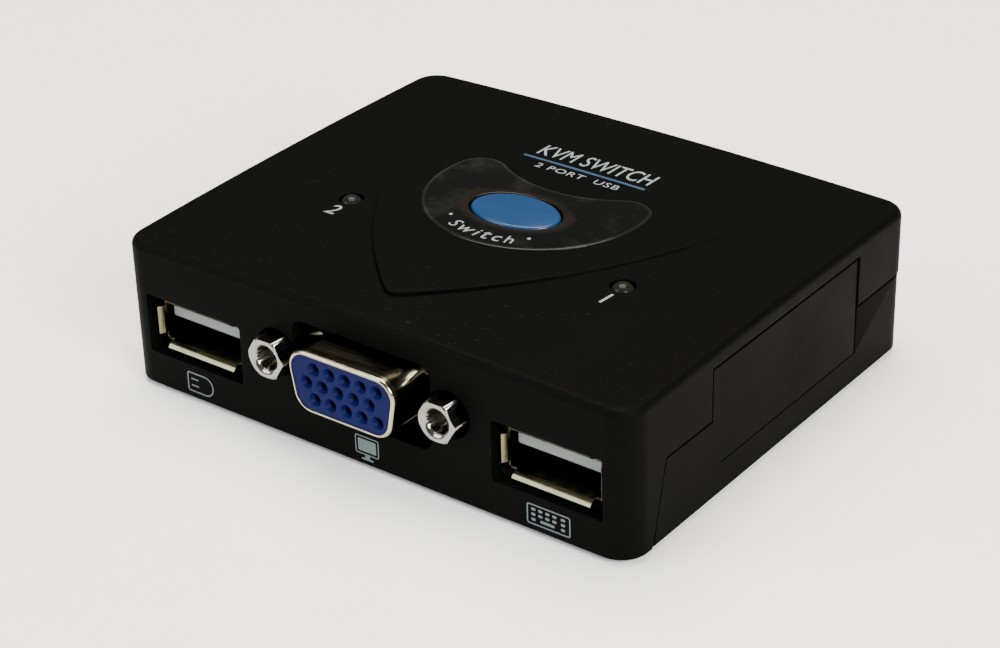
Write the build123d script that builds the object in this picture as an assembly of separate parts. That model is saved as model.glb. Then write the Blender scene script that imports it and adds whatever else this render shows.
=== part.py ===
from build123d import *
import math
import os

# Two-computer KVM switch with built-in sockets. Millimetres.
# X runs along the long side, -Y is the console side (mouse, display, keyboard), +Y the computer side.
# Every shape is drawn with z = 0 at the underside of the case; save() lifts it to stand on its feet.

# Case
case_width = 73.8
case_depth = 60.5
corner_height = 18.64
crown_radius = 1000.0
corner_radius = 3.4
top_edge_radius = 1.0
wall = 2.0
floor_thickness = 2.0
roof_thickness = 2.0
seam_gap = 0.46
bottom_inset = 0.12
lip_thickness = 0.8
lip_height = 1.2

# Seam between the covers, seen from the side: (y, z) of its corners
seam_front_foot = (-26.92, -5.0)
seam_front_knee = (-23.2, 10.2)
wing_front = -14.0
wing_rear = 17.7
wing_top = 16.8
seam_height = 10.2
wing_crease_height = 3.8
wing_crease = 0.2
wing_slot_depth = 1.0

# Raised shield panel on the top
panel_rise = 0.36
panel_shift = 13.0
panel_tip = -24.8
panel_side = 23.7
panel_shoulder = 10.0
panel_bulge = (14.6, -9.1)
panel_rear = 24.0
panel_edge_radius = 0.2
panel_tip_radius = 1.6

# Kidney-shaped label
label_thickness = 0.2
label_centre_y = 4.7
label_radius = 14.4
lobe_radius = 3.4
lobe_height = 6.8
label_waist_y = 6.8

# Select button
button_centre_y = -0.3
button_half_width = 6.05
button_half_depth = 4.0
button_clearance = 0.25
button_crown_radius = 100.0
button_top = 20.42
button_flange_grow = 1.0
button_flange_top = 17.6
button_flange_thickness = 0.8
collar_wall = 1.2
collar_bottom = 14.8

# Status lights
light_x = 20.0
light_shift = 0.6
light_y = -7.75
light_radius = 1.5
light_top = 19.95
light_flange_radius = 1.9
light_bottom = 14.9
light_lead_offset = 1.27
light_lead = 0.5

# Main board
board_thickness = 1.6
board_top = 4.6
board_side = 33.7
board_front = -27.9
board_rear = 27.0
lead_hole_radius = 0.5

# Parts on the board: (x, y) places and (length, width) sizes
controller_place = (-13.5, 1.5)
controller_size = (11.5, 7.5)
controller_leads = 18
video_chip_places = ((10.5, 6.5), (10.5, -6.0))
video_chip_size = (9.9, 3.9)
video_chip_leads = 14
chip_height = 2.0
chip_lead_pitch = 1.27
crystal_place = (-24.5, 6.0)
crystal_size = (3.8, 10.4)
crystal_height = 3.5
capacitor_places = ((22.0, 6.0), (22.0, 13.0))
capacitor_radius = 2.5
capacitor_height = 7.0
small_part_rows = (-7.0, 9.5)
small_part_columns = 4
small_part_start = -16.5
small_part_pitch = 3.0

# D-sub 15 socket. Each is drawn facing -Y with its centre on the outer face of the wall.
socket_height = 10.9
computer_socket_x = 17.0
shell_width = 16.33
shell_height = 7.9
shell_slant = 10.0
shell_corner = 2.5
shell_wall = 0.4
shell_rim_radius = 0.36
shell_front = -3.53
flange_front = 2.4
flange_thickness = 0.5
flange_half_width = 15.4
flange_half_height = 6.0
screw_spacing = 25.0
hex_flats = 4.75
hex_front = -2.26
hex_bevel = 0.7
screw_mouth_radius = 2.05
screw_mouth_depth = 0.45
screw_hole_radius = 1.42
screw_hole_depth = 4.2
stud_radius = 1.2
stud_length = 4.0
insert_radius = 2.3
insulator_rear = 8.6
insulator_recess = 0.12
contact_pitch = 2.29
row_pitch = 1.98
row_shift = 0.57
contact_radius = 0.42
contact_bore_radius = 0.5
contact_mouth_radius = 0.85
contact_mouth_depth = 0.5
contact_recess = 1.2
contact_leg_rows = (13.2, 11.6, 10.0)
insulator_half_width = 9.4
insulator_top = 4.9
shell_tab_half = 1.2
shell_tab_thickness = 0.5
leg_tip = -8.3
opening_half_width = 10.1
opening_bottom = -5.85
opening_top = 5.2
opening_corner = 1.7
screw_opening_radius = 3.05

# USB-A socket, drawn the same way
usb_x = 25.85
usb_height = 8.35
usb_opening_width = 15.0
usb_opening_height = 7.8
usb_shell_width = 13.1
usb_shell_height = 5.7
usb_shell_wall = 0.3
usb_shell_front = 1.9
usb_shell_rear = 15.4
usb_lip_radius = 1.3
usb_side_lip = 3.7
usb_side_lip_angle = 50.0
usb_long_lip = 10.6
usb_long_lip_angle = 62.0
usb_spring_x = 2.85
usb_spring_half = 1.05
usb_spring_y = (3.6, 5.6, 7.6)
usb_spring_rise = 0.85
usb_tab_y = (6.5, 12.5)
usb_tongue_half_width = 5.55
usb_tongue_bottom = 0.15
usb_tongue_top = 1.99
usb_tongue_front = 2.6
usb_base_front = 11.6
usb_contact_x = (-3.5, -1.0, 1.0, 3.5)
usb_contact_width = 1.0
usb_contact_thickness = 0.25
usb_leg_y = 14.2

# Tact switch under the button
switch_side = 6.0
switch_height = 3.5
switch_cavity_radius = 2.35
switch_cavity_floor = 0.8
switch_lid = 0.5
plunger_radius = 1.75
plunger_top = 14.1
plunger_flange_radius = 2.2
plunger_flange_thickness = 0.6
dome_height = 0.9
dome_thickness = 0.12
switch_leg_x = 3.25
switch_leg_y = 2.25

# Fasteners and feet
case_screw_x = 30.6
case_screw_y = 9.0
screw_radius = 1.25
screw_fit = 0.02
screw_head_radius = 2.2
screw_head_height = 1.4
screw_head_bottom = 0.25
boss_radius = 2.8
case_screw_tip = 12.0
board_screw_x = 29.5
board_screw_tip = 1.0
foot_x = 30.0
foot_y = 23.0
foot_radius = 4.0
foot_stand = 0.8
foot_recess = 0.6

half_width = case_width / 2
half_depth = case_depth / 2
crown_top = corner_height + (half_width ** 2 + half_depth ** 2) / (2 * crown_radius)


# ---- Basic shapes ----

def block(x, y, z):
    """A box from three (low, high) pairs."""
    centre = Pos((x[0] + x[1]) / 2, (y[0] + y[1]) / 2, (z[0] + z[1]) / 2)
    return centre * Box(x[1] - x[0], y[1] - y[0], z[1] - z[0])


def prism_x(sketch, x):
    """A sketch drawn in Y and Z, extruded between two x."""
    return Pos(x[0], 0, 0) * extrude(Plane.YZ * sketch, amount=x[1] - x[0])


def prism_y(sketch, y):
    """A sketch drawn in X and Z, extruded between two y."""
    return Pos(0, y[1], 0) * extrude(Plane.XZ * sketch, amount=y[1] - y[0])


def prism_z(sketch, z):
    """A sketch drawn in X and Y, extruded between two z."""
    return Pos(0, 0, z[0]) * extrude(sketch, amount=z[1] - z[0])


def rod_y(radius, x, z, y):
    return prism_y(Pos(x, z) * Circle(radius), y)


def rod_z(radius, x, y, z):
    return prism_z(Pos(x, y) * Circle(radius), z)


def mirrored(x, y):
    """The four places (+-x, +-y)."""
    return [(sx * x, sy * y) for sx in (-1, 1) for sy in (-1, 1)]


def crown_ball(raised=0.0, shift=0.0):
    """The large ball whose upper side is the crowned top, raised, or shifted towards the front."""
    centre = Pos(0, -shift, crown_top + raised - crown_radius)
    return centre * Rot(90, 0, 0) * Sphere(crown_radius)


# ---- Case ----

def straight_block(inset, z):
    """A round-cornered block between two heights, inset from the case's sides."""
    corner = max(corner_radius - inset, 0.4)
    outline = RectangleRounded(case_width - 2 * inset, case_depth - 2 * inset, corner)
    return prism_z(outline, z)


def crowned_block(inset, bottom, raised=0.0):
    """The same block under the crowned top."""
    return straight_block(inset, (bottom, crown_top + 5)) & crown_ball(raised)


def outer_block(inset):
    body = crowned_block(inset, 0)
    return fillet(body.faces().sort_by(Axis.Z)[-1].edges(), top_edge_radius)


def lower_zone(grow):
    """Everything below the seam, as seen from the side, grown outwards by the given amount."""
    corners = [
        seam_front_foot,
        seam_front_knee,
        (wing_front, seam_height),
        (wing_front, wing_top),
        (wing_rear, wing_top),
        (wing_rear, seam_height),
        (half_depth + 10, seam_height),
        (half_depth + 10, seam_front_foot[1]),
    ]
    outline = make_face(Polyline(*corners, close=True))
    outline = offset(outline, amount=grow, kind=Kind.INTERSECTION)
    return prism_x(outline, (-half_width - 5, half_width + 5))


def shield_outline():
    """The raised panel's outline: two bowed edges that meet in a rounded point at the front."""
    tip = (0, panel_tip)
    right = (panel_side, panel_shoulder)
    left = (-panel_side, panel_shoulder)
    edges = [
        ThreePointArc(tip, panel_bulge, right),
        Line(right, (panel_side, panel_rear)),
        Line((panel_side, panel_rear), (-panel_side, panel_rear)),
        Line((-panel_side, panel_rear), left),
        ThreePointArc(left, (-panel_bulge[0], panel_bulge[1]), tip),
    ]
    face = make_face(edges)
    return fillet(face.vertices().sort_by(Axis.Y)[0], panel_tip_radius)


def raised_panel():
    """It stands highest at its point and runs out into the top towards the rear."""
    panel = prism_z(shield_outline(), (crown_top - roof_thickness, crown_top + 5))
    panel = panel & crown_ball(panel_rise, panel_shift)
    return fillet(panel.faces().sort_by(Axis.Z)[-1].edges(), panel_edge_radius)


def oval(grow):
    place = Pos(0, button_centre_y)
    return place * Ellipse(button_half_width + grow, button_half_depth + grow)


def button_collar():
    """The oval guide that hangs from the roof around the button."""
    inner = button_flange_grow + button_clearance
    ring = oval(inner + collar_wall) - oval(inner)
    return prism_z(ring, (collar_bottom, crown_top - roof_thickness / 2)) & crown_ball(-roof_thickness / 2)


def socket_opening():
    """The wall opening of a D-sub socket: a rounded rectangle with a round hole at each screw."""
    middle = (opening_top + opening_bottom) / 2
    height = opening_top - opening_bottom
    window = Pos(0, middle) * RectangleRounded(2 * opening_half_width, height, opening_corner)
    holes = [Pos(side * screw_spacing / 2, 0) * Circle(screw_opening_radius) for side in (-1, 1)]
    return prism_y(window + holes, (-1, wall + 1))


def usb_opening():
    window = RectangleRounded(usb_opening_width, usb_opening_height, 0.4)
    return prism_y(window, (-1, wall + 1))


def at_console(x, z):
    return Pos(x, -half_depth, z)


def at_computers(x, z):
    return Pos(x, half_depth, z) * Rot(0, 0, 180)


def wall_openings():
    cuts = [at_console(0, socket_height) * socket_opening()]
    for side in (-1, 1):
        cuts.append(at_console(side * usb_x, usb_height) * usb_opening())
        cuts.append(at_computers(side * computer_socket_x, socket_height) * socket_opening())
    return cuts


def top_cover():
    """Roof, the whole front wall and front corners, and the side and rear walls above the seam."""
    cover = outer_block(0) + raised_panel()
    cover = cover - crowned_block(wall, -1, -roof_thickness)
    cover = cover - lower_zone(seam_gap / 2)
    cover = cover + button_collar()
    for x, y in mirrored(case_screw_x, case_screw_y):
        boss = rod_z(boss_radius, x, y, (board_top + 0.05, crown_top - roof_thickness / 2))
        cover = cover + (boss & crown_ball(-roof_thickness / 2))
        cover = cover - rod_z(screw_radius + screw_fit, x, y, (0, case_screw_tip + 1))
    cover = cover - prism_z(oval(button_clearance), (collar_bottom, crown_top + 5))
    for side in (-1, 1):
        light = side * light_x + light_shift
        cover = cover - rod_z(light_radius + 0.1, light, light_y, (light_bottom, crown_top + 5))
    return cover - wall_openings()


def seam_lip():
    """The thin inner wall of the bottom cover that closes the seam from behind."""
    ring = crowned_block(wall + 0.1, floor_thickness - 0.5, -roof_thickness - 0.3)
    ring = ring - straight_block(wall + 0.1 + lip_thickness, (0, crown_top + 5))
    lip = ring & lower_zone(lip_height)
    lip = lip & block((-half_width, half_width), (-25.0, half_depth), (0, wing_top + 0.2))
    for side in (-1, 1):
        middle = side * computer_socket_x
        reach = flange_half_width + 0.4
        lip = lip - block((middle - reach, middle + reach), (20, half_depth), (0, crown_top))
    return lip


def screw_seat(x, y):
    """Clearance for a case screw's shank and head in the bottom cover."""
    shank = rod_z(screw_radius + 0.15, x, y, (-1, board_top))
    head = rod_z(screw_head_radius + 0.2, x, y, (-1, screw_head_bottom + screw_head_height))
    return shank + head


def crease_groove():
    """The fine line low on each side wing, and the slot that runs down behind the wing."""
    depth = half_width - bottom_inset
    crease_z = (wing_crease_height, wing_crease_height + wing_crease)
    line = block((depth - 0.15, depth + 1), (wing_front + 2, wing_rear), crease_z)
    slot_y = (wing_rear - seam_gap / 2, wing_rear + seam_gap / 2)
    slot = block((depth - wing_slot_depth, depth + 1), slot_y, (wing_crease_height, seam_height))
    return [line + slot, mirror(line + slot, about=Plane.YZ)]


def bottom_cover():
    """Floor, side wings, the lower rear wall, board pillars and the recesses for the feet."""
    walls = outer_block(bottom_inset) - straight_block(wall, (floor_thickness, crown_top + 5))
    cover = walls & lower_zone(-seam_gap / 2)
    floor_front = -half_depth + wall + 0.15
    cover = cover - block((-half_width, half_width), (-half_depth, floor_front), (-1, crown_top))
    cover = cover + straight_block(wall + 0.15, (0, floor_thickness)) + seam_lip()
    pillar_top = board_top - board_thickness
    for x, y in mirrored(case_screw_x, case_screw_y):
        cover = cover + rod_z(boss_radius, x, y, (0, pillar_top))
        cover = cover - screw_seat(x, y)
    for x in (-board_screw_x, board_screw_x):
        cover = cover + rod_z(boss_radius, x, 0, (floor_thickness - 0.5, pillar_top))
        cover = cover - rod_z(screw_radius + screw_fit, x, 0, (board_screw_tip - 0.2, pillar_top + 1))
    for x, y in mirrored(foot_x, foot_y):
        cover = cover - rod_z(foot_radius + 0.1, x, y, (-1, foot_recess))
    for cut in crease_groove():
        cover = cover - cut
    return cover - wall_openings()


# ---- Label, button and lights ----

def kidney_outline():
    """A wide round belly, two small round lobes and a hollow waist, each arc tangent to the next."""
    reach = label_radius - lobe_radius
    rise = lobe_height - label_centre_y
    lobe_x = math.sqrt(reach ** 2 - rise ** 2)
    drop = label_waist_y - lobe_height
    waist_radius = (lobe_x ** 2 + drop ** 2 - lobe_radius ** 2) / (2 * (lobe_radius - drop))
    waist_centre = label_waist_y + waist_radius
    span = waist_radius + lobe_radius
    meet = (lobe_x * waist_radius / span, waist_centre + (lobe_height - waist_centre) * waist_radius / span)
    belly = (lobe_x * label_radius / reach, label_centre_y + rise * label_radius / reach)
    lobe_top = (lobe_x + lobe_radius * 0.5, lobe_height + lobe_radius * math.sqrt(0.75))
    arcs = [
        ThreePointArc(belly, (0, label_centre_y - label_radius), (-belly[0], belly[1])),
        ThreePointArc((-belly[0], belly[1]), (-lobe_top[0], lobe_top[1]), (-meet[0], meet[1])),
        ThreePointArc((-meet[0], meet[1]), (0, label_waist_y), meet),
        ThreePointArc(meet, lobe_top, belly),
    ]
    return make_face(arcs)


def button_label():
    """A thin overlay that follows the raised panel, with an oval hole for the button."""
    outline = kidney_outline() - oval(button_clearance)
    label = prism_z(outline, (crown_top - 3, crown_top + 5))
    label = label & crown_ball(panel_rise + label_thickness, panel_shift)
    return label - crown_ball(panel_rise, panel_shift)


def select_button():
    """An oval cap with a slightly domed top, a retaining flange and a stem down to the switch."""
    cap = prism_z(oval(0), (button_flange_top - 0.2, button_top + 1))
    cap = cap & (Pos(0, button_centre_y, button_top - button_crown_radius) * Sphere(button_crown_radius))
    cap = fillet(cap.faces().sort_by(Axis.Z)[-1].edges(), 0.35)
    flange_bottom = button_flange_top - button_flange_thickness
    flange = prism_z(oval(button_flange_grow), (flange_bottom, button_flange_top))
    stem = rod_z(plunger_radius + 0.45, 0, button_centre_y, (plunger_top + 0.02, flange_bottom + 0.1))
    return cap + flange + stem


def status_light(side):
    """A 3 mm light: a flange, a round body and a domed top."""
    x = side * light_x + light_shift
    body_top = light_top - light_radius
    flange = rod_z(light_flange_radius, x, light_y, (light_bottom, light_bottom + 1.0))
    body = rod_z(light_radius, x, light_y, (light_bottom, body_top))
    dome = Pos(x, light_y, body_top) * Sphere(light_radius)
    return flange + body + dome


def light_lead_places():
    middles = [side * light_x + light_shift for side in (-1, 1)]
    return [(x + end * light_lead_offset, light_y) for x in middles for end in (-1, 1)]


def light_leads():
    half = light_lead / 2
    leads = []
    for x, y in light_lead_places():
        leads.append(block((x - half, x + half), (y - half, y + half), (2.4, light_bottom)))
    return Compound(leads)


# ---- D-sub 15 socket ----

def d_outline(inset):
    """The socket's D shape, wide side up, inset from the outside of the shell."""
    top = shell_width / 2
    rise = shell_height / 2
    bottom = top - shell_height * math.tan(math.radians(shell_slant))
    points = [(top, rise), (-top, rise), (-bottom, -rise), (bottom, -rise)]
    face = make_face(Polyline(*points, close=True))
    face = fillet(face.vertices(), shell_corner)
    if inset == 0:
        return face
    return offset(face, amount=-inset)


def contact_rows():
    """For each row: its height, its sideways shift and how far back its legs turn down."""
    upper, middle, lower = contact_leg_rows
    return [(row_pitch, row_shift, upper), (0.0, -row_shift, middle), (-row_pitch, row_shift, lower)]


def contact_places():
    places = []
    for z, shift, leg_y in contact_rows():
        for number in range(5):
            places.append(((number - 2) * contact_pitch + shift, z, leg_y))
    return places


def socket_shell():
    """The pressed shell: flange, D-shaped collar, two threaded inserts and two board tabs."""
    back = flange_front + flange_thickness
    plate = RectangleRounded(2 * flange_half_width, 2 * flange_half_height, 1.0)
    flange = prism_y(plate, (flange_front, back))
    collar = prism_y(d_outline(0), (shell_front, back))
    rim = collar.faces().sort_by(Axis.Y)[0].edges()
    shell = flange + fillet(rim, shell_rim_radius)
    shell = shell - prism_y(d_outline(shell_wall), (shell_front - 1, back + 1))
    for side in (-1, 1):
        x = side * screw_spacing / 2
        shell = shell + rod_y(insert_radius, x, 0, (back, back + stud_length - 0.5))
        tab_x = (x - shell_tab_half, x + shell_tab_half)
        shell = shell + block(tab_x, (back, back + shell_tab_thickness), (leg_tip, 0))
        shell = shell - rod_y(stud_radius + 0.02, x, 0, (flange_front - 1, back + stud_length + 1))
    return shell


def socket_insert():
    """The insulator: a D-shaped nose in the shell with fifteen mouths, and a block on the board."""
    back = flange_front + flange_thickness
    nose = prism_y(d_outline(shell_wall + 0.01), (shell_front + insulator_recess, back + 1))
    board_face = board_top - socket_height
    body_x = (-insulator_half_width, insulator_half_width)
    insert = nose + block(body_x, (back, insulator_rear), (board_face, insulator_top))
    for x, z, leg_y in contact_places():
        bore = rod_y(contact_bore_radius, x, z, (shell_front - 1, insulator_rear + 1))
        front = shell_front + insulator_recess
        mouth = Cone(contact_bore_radius, contact_mouth_radius, contact_mouth_depth)
        mouth = Pos(x, front + contact_mouth_depth / 2, z) * Rot(90, 0, 0) * mouth
        insert = insert - bore - mouth
    return insert


def socket_contacts():
    """Fifteen contacts: each lies in its bore, leaves at the rear and turns down through the board."""
    contacts = []
    for x, z, leg_y in contact_places():
        front = shell_front + insulator_recess + contact_recess
        pin = rod_y(contact_radius, x, z, (front, leg_y + contact_radius))
        half = contact_radius * 0.7
        leg = block((x - half, x + half), (leg_y - half, leg_y + half), (leg_tip, z))
        contacts.append(pin + leg)
    return Compound(contacts)


def jackscrew():
    """A hexagonal female screwlock: threaded hole with a wide mouth in front, stud behind."""
    hexagon = RegularPolygon(hex_flats / 2, 6, major_radius=False)
    body = prism_y(hexagon, (hex_front, flange_front))
    bevel_radius = hex_flats / 2 + 1.2
    bevel = Cone(bevel_radius, hex_flats / 2 + 0.02, hex_bevel)
    far_part = rod_y(bevel_radius, 0, 0, (hex_front + hex_bevel, flange_front))
    bevel = Pos(0, hex_front + hex_bevel / 2, 0) * Rot(90, 0, 0) * bevel
    body = body & (bevel + far_part)
    body = body + rod_y(stud_radius, 0, 0, (flange_front, flange_front + stud_length))
    body = body - rod_y(screw_hole_radius, 0, 0, (hex_front - 1, hex_front + screw_hole_depth))
    mouth = Cone(screw_hole_radius, screw_mouth_radius, screw_mouth_depth)
    return body - Pos(0, hex_front + screw_mouth_depth / 2, 0) * Rot(90, 0, 0) * mouth


def socket_jackscrews():
    return Compound([Pos(side * screw_spacing / 2, 0, 0) * jackscrew() for side in (-1, 1)])


# ---- USB-A socket ----

def lip_profile(degrees):
    """A curled lip in the (out, y) plane: it leaves a wall's outer face and bends away from it."""
    angle = math.radians(degrees)
    inner = usb_lip_radius - usb_shell_wall
    outer = usb_lip_radius

    def arc_point(radius, turn):
        return (outer - radius * math.cos(turn), usb_shell_front - radius * math.sin(turn))

    inner_arc = ThreePointArc(arc_point(inner, 0), arc_point(inner, angle / 2), arc_point(inner, angle))
    outer_arc = ThreePointArc(arc_point(outer, 0), arc_point(outer, angle / 2), arc_point(outer, angle))
    ends = [
        Line(arc_point(inner, 0), arc_point(outer, 0)),
        Line(arc_point(inner, angle), arc_point(outer, angle)),
    ]
    return make_face([inner_arc, outer_arc] + ends)


def usb_lips():
    """One lip on each side of the mouth; they stop short of the corners."""
    half_x = usb_shell_width / 2 - usb_shell_wall
    half_z = usb_shell_height / 2 - usb_shell_wall
    lips = []
    for turn in (0, 180):
        lip = extrude(lip_profile(usb_side_lip_angle), amount=usb_side_lip / 2, both=True)
        lips.append(Rot(0, -turn, 0) * Pos(half_x, 0, 0) * lip)
    for turn in (90, 270):
        lip = extrude(lip_profile(usb_long_lip_angle), amount=usb_long_lip / 2, both=True)
        lips.append(Rot(0, -turn, 0) * Pos(half_z, 0, 0) * lip)
    return lips


def usb_spring(floor):
    """The side view of a retaining spring: it rises slowly from the mouth and drops behind."""
    start, peak, end = usb_spring_y
    low = floor + usb_shell_wall
    points = [(start, floor), (start, low), (peak, floor + usb_spring_rise), (end, low), (end, floor)]
    return make_face(Polyline(*points, close=True))


def usb_shell():
    """A folded tube with curled lips, two retaining springs in its floor, and board tabs."""
    outer = RectangleRounded(usb_shell_width, usb_shell_height, 0.5)
    hollow = 2 * usb_shell_wall
    inner = RectangleRounded(usb_shell_width - hollow, usb_shell_height - hollow, 0.2)
    shell = prism_y(outer - inner, (usb_shell_front, usb_shell_rear))
    shell = shell + usb_lips()
    floor = -usb_shell_height / 2
    for x in (-usb_spring_x, usb_spring_x):
        shell = shell + prism_x(usb_spring(floor), (x - usb_spring_half, x + usb_spring_half))
    gap_half = usb_contact_x[-1] + 0.8
    gap_y = (usb_leg_y - 0.8, usb_shell_rear + 1)
    shell = shell - block((-gap_half, gap_half), gap_y, (floor - 1, floor + usb_shell_wall + 0.01))
    board_face = board_top - usb_height
    for side in (-1, 1):
        x = side * (usb_shell_width / 2 - usb_shell_wall / 2)
        for y in usb_tab_y:
            tab_x = (x - usb_shell_wall / 2, x + usb_shell_wall / 2)
            shell = shell + block(tab_x, (y - 0.8, y + 0.8), (board_face - 2.6, 0))
    return shell


def usb_tongue():
    """The white insulator: a block at the back of the shell and a tongue that reaches forward."""
    half = usb_shell_width / 2 - usb_shell_wall - 0.02
    top = usb_shell_height / 2 - usb_shell_wall - 0.02
    base = prism_y(RectangleRounded(2 * half, 2 * top, 0.25), (usb_base_front, usb_leg_y + 1.0))
    tongue_z = (usb_tongue_bottom, usb_tongue_top)
    tongue_x = (-usb_tongue_half_width, usb_tongue_half_width)
    tongue = block(tongue_x, (usb_tongue_front, usb_base_front + 0.5), tongue_z)
    front_edges = tongue.edges().filter_by(Axis.X).sort_by(Axis.Y)[:2]
    body = base + chamfer(front_edges, 0.3)
    leg_half = usb_contact_width / 2 + 0.05
    groove_y = (usb_tongue_front + 0.8, usb_leg_y + 0.4)
    groove_z = (usb_tongue_bottom - 0.1, usb_tongue_bottom + usb_contact_thickness)
    leg_y = (usb_leg_y - 0.3, usb_leg_y + 0.4)
    for x in usb_contact_x:
        body = body - block((x - leg_half, x + leg_half), groove_y, groove_z)
        body = body - block((x - 0.35, x + 0.35), leg_y, (-top - 1, usb_tongue_bottom))
    return body


def usb_contacts():
    """Four flat contacts under the tongue, each with a leg down through the board."""
    contacts = []
    half = usb_contact_width / 2
    strip_z = (usb_tongue_bottom - 0.08, usb_tongue_bottom - 0.08 + usb_contact_thickness)
    leg_y = (usb_leg_y - 0.25, usb_leg_y + 0.25)
    leg_z = (board_top - usb_height - 2.4, strip_z[1])
    for x in usb_contact_x:
        strip = block((x - half, x + half), (usb_tongue_front + 1.0, leg_y[1]), strip_z)
        contacts.append(strip + block((x - 0.3, x + 0.3), leg_y, leg_z))
    return Compound(contacts)


# ---- Tact switch ----

def switch_leg_places():
    return [(x, y + button_centre_y) for x, y in mirrored(switch_leg_x, switch_leg_y)]


def switch_body():
    """A square case, hollow for the snap dome, with a round hole for the plunger."""
    half = switch_side / 2
    y = (button_centre_y - half, button_centre_y + half)
    top = board_top + switch_height
    body = block((-half, half), y, (board_top, top))
    cavity_z = (board_top + switch_cavity_floor, top - switch_lid)
    body = body - rod_z(switch_cavity_radius, 0, button_centre_y, cavity_z)
    return body - rod_z(plunger_radius + 0.05, 0, button_centre_y, (top - switch_lid - 0.1, top + 1))


def plunger_flange_bottom():
    return board_top + switch_cavity_floor + dome_height + 0.02


def switch_plunger():
    """The post that the button's stem pushes, held in the case by its flange."""
    bottom = plunger_flange_bottom()
    flange = rod_z(plunger_flange_radius, 0, button_centre_y, (bottom, bottom + plunger_flange_thickness))
    post = rod_z(plunger_radius, 0, button_centre_y, (bottom, plunger_top))
    return flange + post


def switch_dome():
    """The snap dome: a shallow sprung cap that gives way when the plunger comes down."""
    base_radius = switch_cavity_radius - 0.1
    ball_radius = (base_radius ** 2 + dome_height ** 2) / (2 * dome_height)
    base = board_top + switch_cavity_floor
    centre = Pos(0, button_centre_y, base + dome_height - ball_radius)
    cap = centre * Sphere(ball_radius) - centre * Sphere(ball_radius - dome_thickness)
    return cap & rod_z(base_radius + 1, 0, button_centre_y, (base, base + 2))


def switch_terminals():
    legs = []
    for x, y in switch_leg_places():
        out = math.copysign(0.25, x)
        leg_x = sorted((x - out, x + out))
        leg = block(leg_x, (y - 0.3, y + 0.3), (2.2, board_top + 0.8))
        legs.append(leg)
    return Compound(legs)


# ---- Board and what it carries ----

def lead_places():
    """Every place where a round or square lead goes through the board."""
    places = []
    for x, z, leg_y in contact_places():
        places.append((x, leg_y - half_depth))
        for side in (-1, 1):
            places.append((side * computer_socket_x - x, half_depth - leg_y))
    for side in (-1, 1):
        for x in usb_contact_x:
            places.append((side * usb_x + x, usb_leg_y - half_depth))
    return places + light_lead_places() + switch_leg_places()


def tab_slots():
    """Slots in the board for the sockets' metal tabs."""
    z = (0, board_top + 1)
    slots = []
    tab_y = flange_front + flange_thickness + shell_tab_thickness / 2
    for middle, front in ((0, -1), (-computer_socket_x, 1), (computer_socket_x, 1)):
        for side in (-1, 1):
            x = middle + side * screw_spacing / 2
            y = front * (half_depth - tab_y)
            tab_half = shell_tab_half + 0.2
            slots.append(block((x - tab_half, x + tab_half), (y - 0.45, y + 0.45), z))
    for middle in (-usb_x, usb_x):
        for side in (-1, 1):
            x = middle + side * (usb_shell_width / 2 - usb_shell_wall / 2)
            for y in usb_tab_y:
                slots.append(block((x - 0.3, x + 0.3), (y - half_depth - 1.0, y - half_depth + 1.0), z))
    return slots


def main_board():
    middle = (board_front + board_rear) / 2
    outline = Pos(0, middle) * RectangleRounded(2 * board_side, board_rear - board_front, 1.0)
    for x, y in lead_places():
        outline = outline - Pos(x, y) * Circle(lead_hole_radius)
    for x, y in mirrored(case_screw_x, case_screw_y):
        outline = outline - Pos(x, y) * Circle(screw_radius + 0.15)
    for x in (-board_screw_x, board_screw_x):
        outline = outline - Pos(x, 0) * Circle(screw_radius + 0.15)
    return prism_z(outline, (board_top - board_thickness, board_top)) - tab_slots()


def leaded_chip(place, size, leads):
    """A flat chip with gull-wing leads along its two long sides."""
    x, y = place
    length, width = size
    base = board_top
    chip_x = (x - length / 2, x + length / 2)
    chip_y = (y - width / 2, y + width / 2)
    chip = block(chip_x, chip_y, (base + 0.15, base + chip_height))
    per_side = leads // 2
    for number in range(per_side):
        lead_x = x + (number - (per_side - 1) / 2) * chip_lead_pitch
        span_x = (lead_x - 0.2, lead_x + 0.2)
        for side in (-1, 1):
            edge = y + side * width / 2
            shoulder = sorted((edge - side * 0.1, edge + side * 0.6))
            foot = sorted((edge + side * 0.45, edge + side * 1.3))
            down = sorted((edge + side * 0.4, edge + side * 0.6))
            chip = chip + block(span_x, shoulder, (base + 0.9, base + 1.1))
            chip = chip + block(span_x, down, (base, base + 1.0))
            chip = chip + block(span_x, foot, (base, base + 0.2))
    return chip


def controller_chip():
    return leaded_chip(controller_place, controller_size, controller_leads)


def video_switch_chips():
    return Compound([leaded_chip(place, video_chip_size, video_chip_leads) for place in video_chip_places])


def clock_crystal():
    """A low metal can with rounded ends on a thin base."""
    width, length = crystal_size
    can = Pos(*crystal_place) * RectangleRounded(width, length, width / 2 - 0.05)
    rim = Pos(*crystal_place) * RectangleRounded(width + 0.8, length + 0.8, width / 2 + 0.35)
    base = prism_z(rim, (board_top, board_top + 0.5))
    return base + prism_z(can, (board_top, board_top + crystal_height))


def smoothing_capacitors():
    """Round aluminium cans with a rolled neck near the foot."""
    cans = []
    for x, y in capacitor_places:
        can = rod_z(capacitor_radius, x, y, (board_top, board_top + capacitor_height))
        neck = Pos(x, y, board_top + 1.3) * Torus(capacitor_radius + 0.2, 0.35)
        cans.append(fillet(can.edges().sort_by(Axis.Z)[-1], 0.4) - neck)
    return Compound(cans)


def small_parts():
    """Chip capacitors and resistors beside the chips."""
    parts = []
    for column in range(small_part_columns):
        x = small_part_start + column * small_part_pitch
        for y in small_part_rows:
            parts.append(block((x - 1.0, x + 1.0), (y - 0.6, y + 0.6), (board_top, board_top + 0.7)))
    return Compound(parts)


# ---- Fasteners and feet ----

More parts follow.
